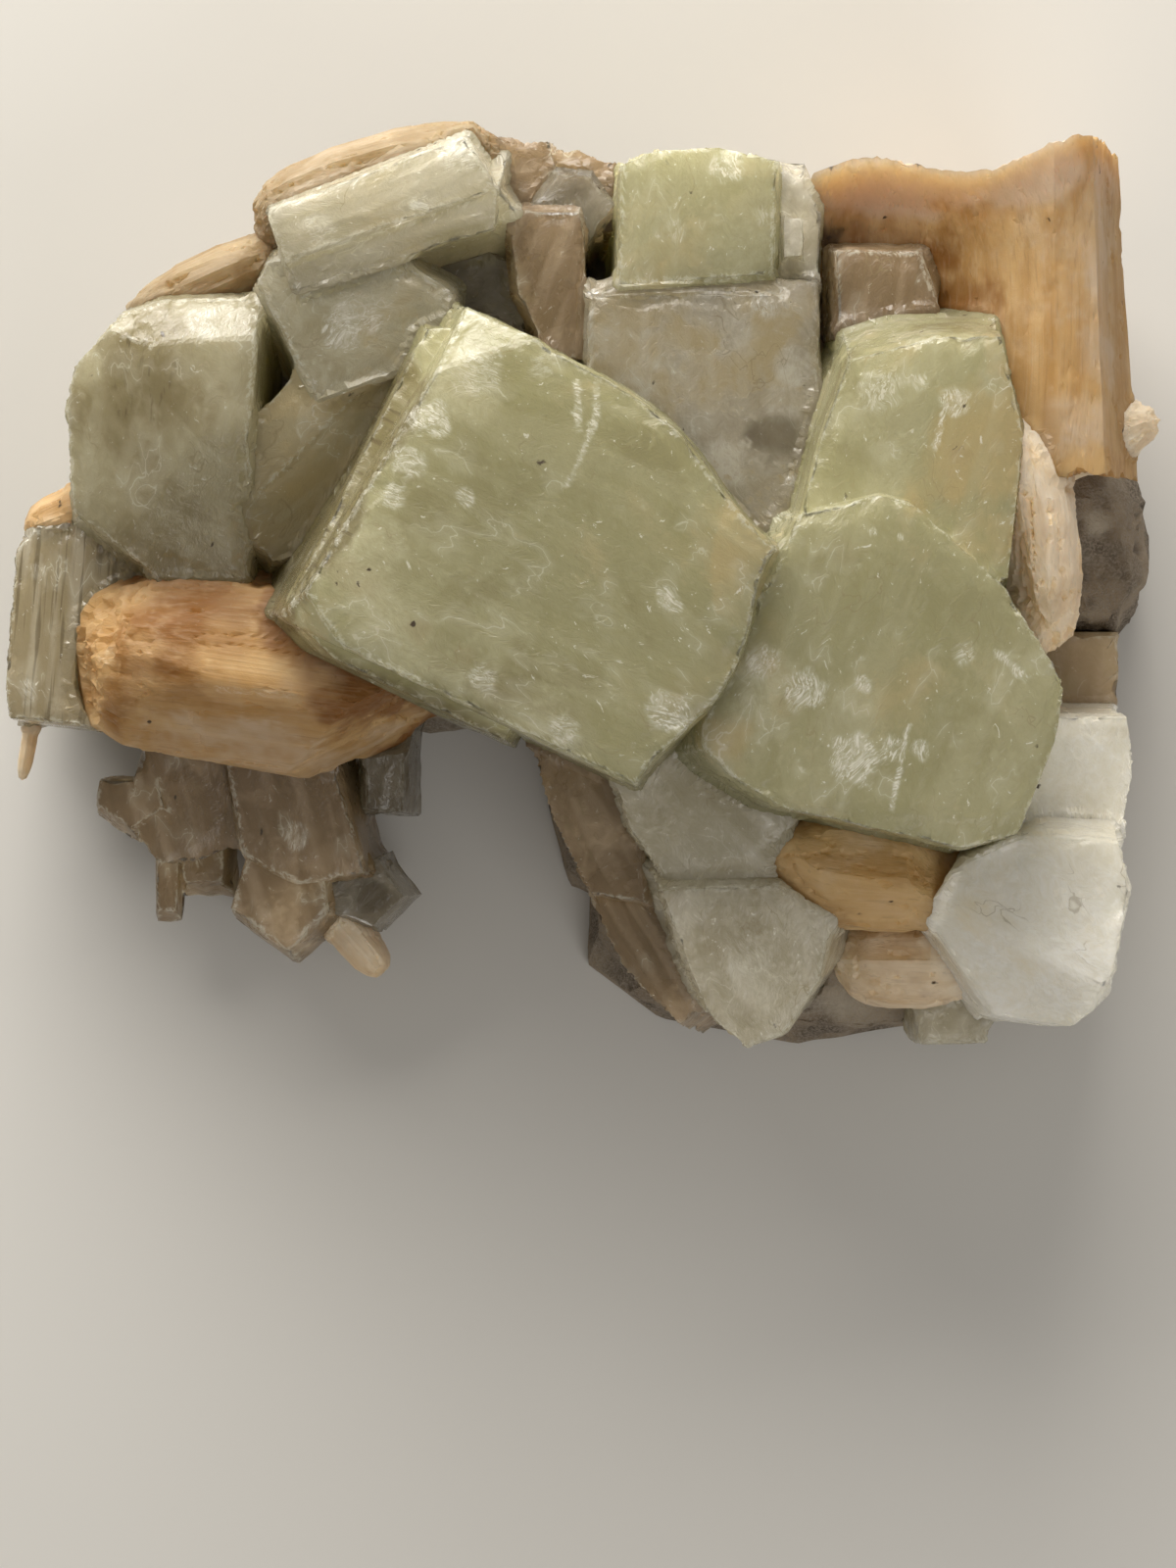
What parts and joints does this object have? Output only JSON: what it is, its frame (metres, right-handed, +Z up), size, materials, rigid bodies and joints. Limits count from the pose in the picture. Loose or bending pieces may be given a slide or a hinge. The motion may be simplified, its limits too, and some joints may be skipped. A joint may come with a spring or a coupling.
{
  "type": "apophyllite cluster",
  "caption": "Mineral specimen of translucent pale green apophyllite blocks and peach stilbite sheaves grown on a basalt matrix, lying crystals up.",
  "frame": {"origin": "on the ground under the middle of the cluster's outline", "axes": "+X along the longest side, +Y across it, +Z up out of the crystals"},
  "size_m": [0.1638, 0.1296, 0.0691],
  "materials": {
    "apophyllite_green": "translucent, glassy to pearly, milky inside",
    "apophyllite_pale": "translucent, glassy to pearly",
    "mineral_pink": "milky, satin",
    "stilbite_peach": "pearly, finely ribbed",
    "basalt": "rough, matt"
  },
  "bodies": {
    "root": {"main_crystal": "apophyllite_green", "right_crystal": "apophyllite_green", "top_crystal": "apophyllite_green", "long_prism": "apophyllite_pale", "tilted_crystal": "apophyllite_pale", "side_prism": "apophyllite_pale", "middle_crystal": "apophyllite_pale", "top_right_crystals": "apophyllite_pale", "dome_crystal": "apophyllite_pale", "corner_crystal": "apophyllite_pale", "right_edge_crystal": "apophyllite_pale", "lower_front_crystal": "apophyllite_pale", "lower_back_crystal": "apophyllite_pale", "lower_left_crystals": "apophyllite_pale", "slab_crystal": "apophyllite_pale", "clear_pointed_crystal": "apophyllite_pale", "dark_clear_crystal": "apophyllite_pale", "bottom_edge_crystal": "apophyllite_pale", "hanging_cluster_right": "apophyllite_pale", "hanging_cluster_left": "apophyllite_pale", "hollow_crystal": "apophyllite_pale", "small_hanging_crystal": "apophyllite_pale", "peach_crystal": "mineral_pink", "stilbite_crust": "mineral_pink", "top_beige_crystal": "mineral_pink", "top_pink_crystals": "mineral_pink", "stilbite_bulge": "mineral_pink", "right_edge_stub": "mineral_pink", "pink_stub": "mineral_pink", "stilbite_nub": "stilbite_peach", "stilbite_bow_tie": "stilbite_peach", "stilbite_lens": "stilbite_peach", "stilbite_bit": "stilbite_peach", "stilbite_fan": "stilbite_peach", "stilbite_strip": "stilbite_peach", "stilbite_ridge": "stilbite_peach", "stilbite_sliver": "stilbite_peach", "matrix": "basalt"}
  },
  "joints": []
}
